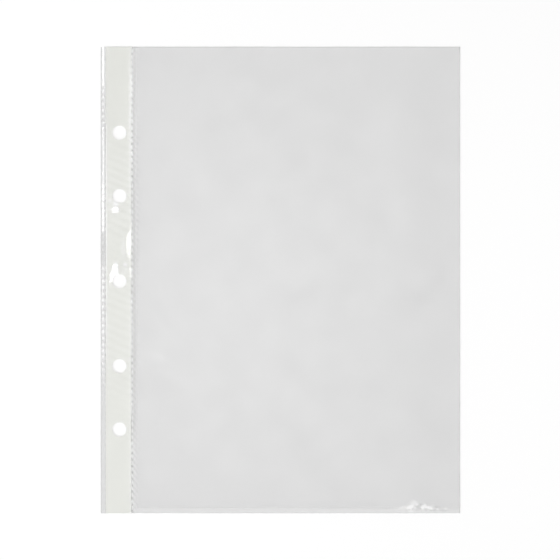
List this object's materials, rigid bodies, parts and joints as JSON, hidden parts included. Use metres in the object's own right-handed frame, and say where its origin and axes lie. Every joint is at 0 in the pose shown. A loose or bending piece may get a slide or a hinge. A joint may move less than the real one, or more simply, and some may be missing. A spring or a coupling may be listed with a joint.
{
  "type": "sheet protector",
  "caption": "Clear film pocket for a small ring binder: open top, folded side, welded bottom, and a knurl-welded binding margin with a punched, pale reinforcing strip.",
  "frame": {"origin": "middle of the flat underside", "axes": "+Y towards the open mouth, +X from the binding margin towards the folded side, +Z out of the front film"},
  "size_m": [0.1692, 0.2196, 0.0004],
  "materials": {
    "film": "clear, slightly hazy, glossy polypropylene film",
    "weld": "fused clear film, knurled",
    "strip": "smooth cream-white polypropylene strip"
  },
  "bodies": {
    "binding_margin": {"reinforcing_strip": "strip", "margin_back_film": "film", "margin_front_film": "film", "edge_seam": "weld", "pocket_seam": "weld"},
    "pocket": {"back_film": "film", "side_fold": "film", "bottom_weld": "weld"},
    "front_panel": {"front_film": "film"}
  },
  "joints": [
    {"name": "pocket_fold", "type": "hinge", "parent": "binding_margin", "child": "pocket", "pos_m": [-0.0689, 0, 0.00019], "axis": [0, -1, 0], "range_deg": [0, 90]},
    {"name": "mouth_open", "type": "hinge", "parent": "pocket", "child": "front_panel", "pos_m": [0, -0.10961, 0.00019], "axis": [1, 0, 0], "range_deg": [0, 5]}
  ]
}
